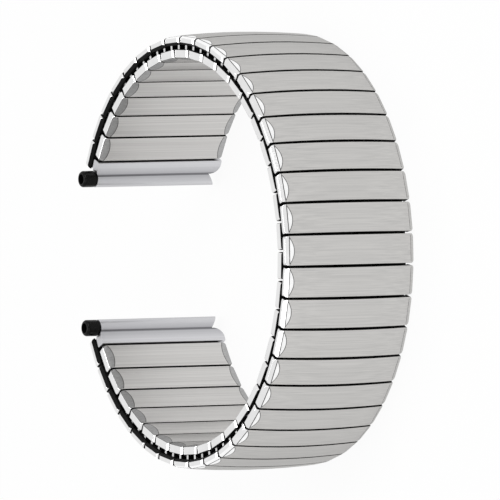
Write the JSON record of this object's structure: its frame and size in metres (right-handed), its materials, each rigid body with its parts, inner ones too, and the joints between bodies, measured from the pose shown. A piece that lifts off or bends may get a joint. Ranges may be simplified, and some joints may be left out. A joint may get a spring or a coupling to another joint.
{
  "type": "expansion watch band",
  "caption": "Springy metal watch band of two staggered rows of flat sleeve links joined by staples, with hinged lug ends and sliding lug plugs.",
  "frame": {"origin": "centre of the band's box at its back edge, on the plane the ring lies on", "axes": "+Z across the band from its back edge to its front edge, +Y towards the upper end, the opening for the watch case faces -X"},
  "size_m": [0.0552, 0.058, 0.0209],
  "materials": {
    "link_steel": "brushed face, polished ends",
    "inner_steel": "fine brushed face, polished ends",
    "spring_steel": "bright spring steel",
    "staple_steel": "polished wire",
    "shell_steel": "smooth satin",
    "plug_plastic": "black, slightly glossy"
  },
  "bodies": {
    "segment_01": {"outer_links_01": "link_steel", "inner_links_01": "inner_steel", "leaf_springs_01": "spring_steel", "staples_01": "staple_steel"},
    "segment_02": {"outer_links_02": "link_steel", "inner_links_02": "inner_steel", "leaf_springs_02": "spring_steel", "staples_02": "staple_steel"},
    "segment_03": {"outer_links_03": "link_steel", "inner_links_03": "inner_steel", "leaf_springs_03": "spring_steel", "staples_03": "staple_steel"},
    "segment_04": {"outer_links_04": "link_steel", "inner_links_04": "inner_steel", "leaf_springs_04": "spring_steel", "staples_04": "staple_steel"},
    "segment_05": {"outer_links_05": "link_steel", "inner_links_05": "inner_steel", "leaf_springs_05": "spring_steel", "staples_05": "staple_steel"},
    "segment_06": {"outer_links_06": "link_steel", "inner_links_06": "inner_steel", "leaf_springs_06": "spring_steel", "staples_06": "staple_steel"},
    "segment_07": {"outer_links_07": "link_steel", "inner_links_07": "inner_steel", "leaf_springs_07": "spring_steel", "staples_07": "staple_steel"},
    "segment_08": {"outer_links_08": "link_steel", "inner_links_08": "inner_steel", "leaf_springs_08": "spring_steel", "staples_08": "staple_steel"},
    "segment_09": {"outer_links_09": "link_steel", "inner_links_09": "inner_steel", "leaf_springs_09": "spring_steel", "staples_09": "staple_steel"},
    "segment_10": {"outer_links_10": "link_steel", "inner_links_10": "inner_steel", "leaf_springs_10": "spring_steel", "staples_10": "staple_steel"},
    "segment_11": {"outer_links_11": "link_steel", "inner_links_11": "inner_steel", "leaf_springs_11": "spring_steel", "staples_11": "staple_steel"},
    "segment_12": {"outer_links_12": "link_steel", "inner_links_12": "inner_steel", "leaf_springs_12": "spring_steel", "staples_12": "staple_steel"},
    "stretch_link_1": {"stretch_staples_1": "staple_steel"},
    "stretch_link_2": {"stretch_staples_2": "staple_steel"},
    "stretch_link_3": {"stretch_staples_3": "staple_steel"},
    "stretch_link_4": {"stretch_staples_4": "staple_steel"},
    "stretch_link_5": {"stretch_staples_5": "staple_steel"},
    "stretch_link_6": {"stretch_staples_6": "staple_steel"},
    "upper_end": {"upper_shell": "shell_steel"},
    "upper_front_plug": {"upper_front_plug": "plug_plastic"},
    "upper_back_plug": {"upper_back_plug": "plug_plastic"},
    "lower_end": {"lower_shell": "shell_steel"},
    "lower_front_plug": {"lower_front_plug": "plug_plastic"},
    "lower_back_plug": {"lower_back_plug": "plug_plastic"}
  },
  "joints": [
    {"name": "stretch_4_swing", "type": "hinge", "parent": "segment_07", "child": "stretch_link_4", "pos_m": [0.02301, -0.01042, 0.0097], "axis": [0, 0, -1], "range_deg": [0, 45], "stiffness_Nm_per_rad": 0.004, "springref_deg": -17.19},
    {"name": "stretch_4_level", "type": "hinge", "parent": "stretch_link_4", "child": "segment_08", "pos_m": [0.0244, -0.01102, 0.0097], "axis": [0, 0, 1], "range_deg": [0, 45]},
    {"name": "bend_4", "type": "hinge", "parent": "segment_08", "child": "segment_09", "pos_m": [0.01623, -0.01983, 0.0097], "axis": [0, 0, 1], "range_deg": [-4, 6.5]},
    {"name": "stretch_5_swing", "type": "hinge", "parent": "segment_09", "child": "stretch_link_5", "pos_m": [0.00608, -0.02544, 0.0097], "axis": [0, 0, -1], "range_deg": [0, 45], "stiffness_Nm_per_rad": 0.004, "springref_deg": -17.19},
    {"name": "stretch_5_level", "type": "hinge", "parent": "stretch_link_5", "child": "segment_10", "pos_m": [0.00651, -0.02689, 0.0097], "axis": [0, 0, 1], "range_deg": [0, 45]},
    {"name": "bend_5", "type": "hinge", "parent": "segment_10", "child": "segment_11", "pos_m": [-0.00549, -0.02618, 0.0097], "axis": [0, 0, 1], "range_deg": [-4, 6.5]},
    {"name": "stretch_6_swing", "type": "hinge", "parent": "segment_11", "child": "stretch_link_6", "pos_m": [-0.01627, -0.02192, 0.0097], "axis": [0, 0, -1], "range_deg": [0, 45], "stiffness_Nm_per_rad": 0.004, "springref_deg": -17.19},
    {"name": "stretch_6_level", "type": "hinge", "parent": "stretch_link_6", "child": "segment_12", "pos_m": [-0.01712, -0.02317, 0.0097], "axis": [0, 0, 1], "range_deg": [0, 45]},
    {"name": "bend_3", "type": "hinge", "parent": "segment_07", "child": "segment_06", "pos_m": [0.02513, 0.00097, 0.0097], "axis": [0, 0, -1], "range_deg": [-4, 6.5]},
    {"name": "stretch_3_swing", "type": "hinge", "parent": "segment_06", "child": "stretch_link_3", "pos_m": [0.02352, 0.01288, 0.0097], "axis": [0, 0, -1], "range_deg": [0, 45], "stiffness_Nm_per_rad": 0.004, "springref_deg": -17.19},
    {"name": "stretch_3_level", "type": "hinge", "parent": "stretch_link_3", "child": "segment_05", "pos_m": [0.02218, 0.01219, 0.0097], "axis": [0, 0, 1], "range_deg": [0, 45]},
    {"name": "bend_2", "type": "hinge", "parent": "segment_05", "child": "segment_04", "pos_m": [0.01472, 0.02107, 0.0097], "axis": [0, 0, -1], "range_deg": [-4, 6.5]},
    {"name": "stretch_2_swing", "type": "hinge", "parent": "segment_04", "child": "stretch_link_2", "pos_m": [0.00451, 0.02739, 0.0097], "axis": [0, 0, -1], "range_deg": [0, 45], "stiffness_Nm_per_rad": 0.004, "springref_deg": -17.19},
    {"name": "stretch_2_level", "type": "hinge", "parent": "stretch_link_2", "child": "segment_03", "pos_m": [0.00419, 0.02592, 0.0097], "axis": [0, 0, 1], "range_deg": [0, 45]},
    {"name": "bend_1", "type": "hinge", "parent": "segment_03", "child": "segment_02", "pos_m": [-0.0074, 0.02581, 0.0097], "axis": [0, 0, -1], "range_deg": [-4, 6.5]},
    {"name": "stretch_1_swing", "type": "hinge", "parent": "segment_02", "child": "stretch_link_1", "pos_m": [-0.01877, 0.02195, 0.0097], "axis": [0, 0, -1], "range_deg": [0, 45], "stiffness_Nm_per_rad": 0.004, "springref_deg": -17.19},
    {"name": "stretch_1_level", "type": "hinge", "parent": "stretch_link_1", "child": "segment_01", "pos_m": [-0.01784, 0.02076, 0.0097], "axis": [0, 0, 1], "range_deg": [0, 45]},
    {"name": "upper_end_hinge", "type": "hinge", "parent": "segment_01", "child": "upper_end", "pos_m": [-0.02512, 0.01175, 0.0097], "axis": [0, 0, -1], "range_deg": [-8, 6]},
    {"name": "lower_end_hinge", "type": "hinge", "parent": "segment_12", "child": "lower_end", "pos_m": [-0.02512, -0.01175, 0.0097], "axis": [0, 0, 1], "range_deg": [-8, 6]},
    {"name": "upper_front_plug_slide", "type": "slide", "parent": "upper_end", "child": "upper_front_plug", "axis": [0, 0, 1], "range_m": [0, 0.0025]},
    {"name": "upper_back_plug_slide", "type": "slide", "parent": "upper_end", "child": "upper_back_plug", "axis": [0, 0, -1], "range_m": [0, 0.0025]},
    {"name": "lower_front_plug_slide", "type": "slide", "parent": "lower_end", "child": "lower_front_plug", "axis": [0, 0, 1], "range_m": [0, 0.0025]},
    {"name": "lower_back_plug_slide", "type": "slide", "parent": "lower_end", "child": "lower_back_plug", "axis": [0, 0, -1], "range_m": [0, 0.0025]}
  ],
  "couplings": [
    {"joint": "stretch_4_level", "follows": "stretch_4_swing", "ratio": 1},
    {"joint": "stretch_5_swing", "follows": "stretch_4_swing", "ratio": 1},
    {"joint": "stretch_5_level", "follows": "stretch_4_swing", "ratio": 1},
    {"joint": "stretch_6_swing", "follows": "stretch_4_swing", "ratio": 1},
    {"joint": "stretch_6_level", "follows": "stretch_4_swing", "ratio": 1},
    {"joint": "stretch_3_swing", "follows": "stretch_4_swing", "ratio": 1},
    {"joint": "stretch_3_level", "follows": "stretch_4_swing", "ratio": 1},
    {"joint": "stretch_2_swing", "follows": "stretch_4_swing", "ratio": 1},
    {"joint": "stretch_2_level", "follows": "stretch_4_swing", "ratio": 1},
    {"joint": "stretch_1_swing", "follows": "stretch_4_swing", "ratio": 1},
    {"joint": "stretch_1_level", "follows": "stretch_4_swing", "ratio": 1}
  ]
}
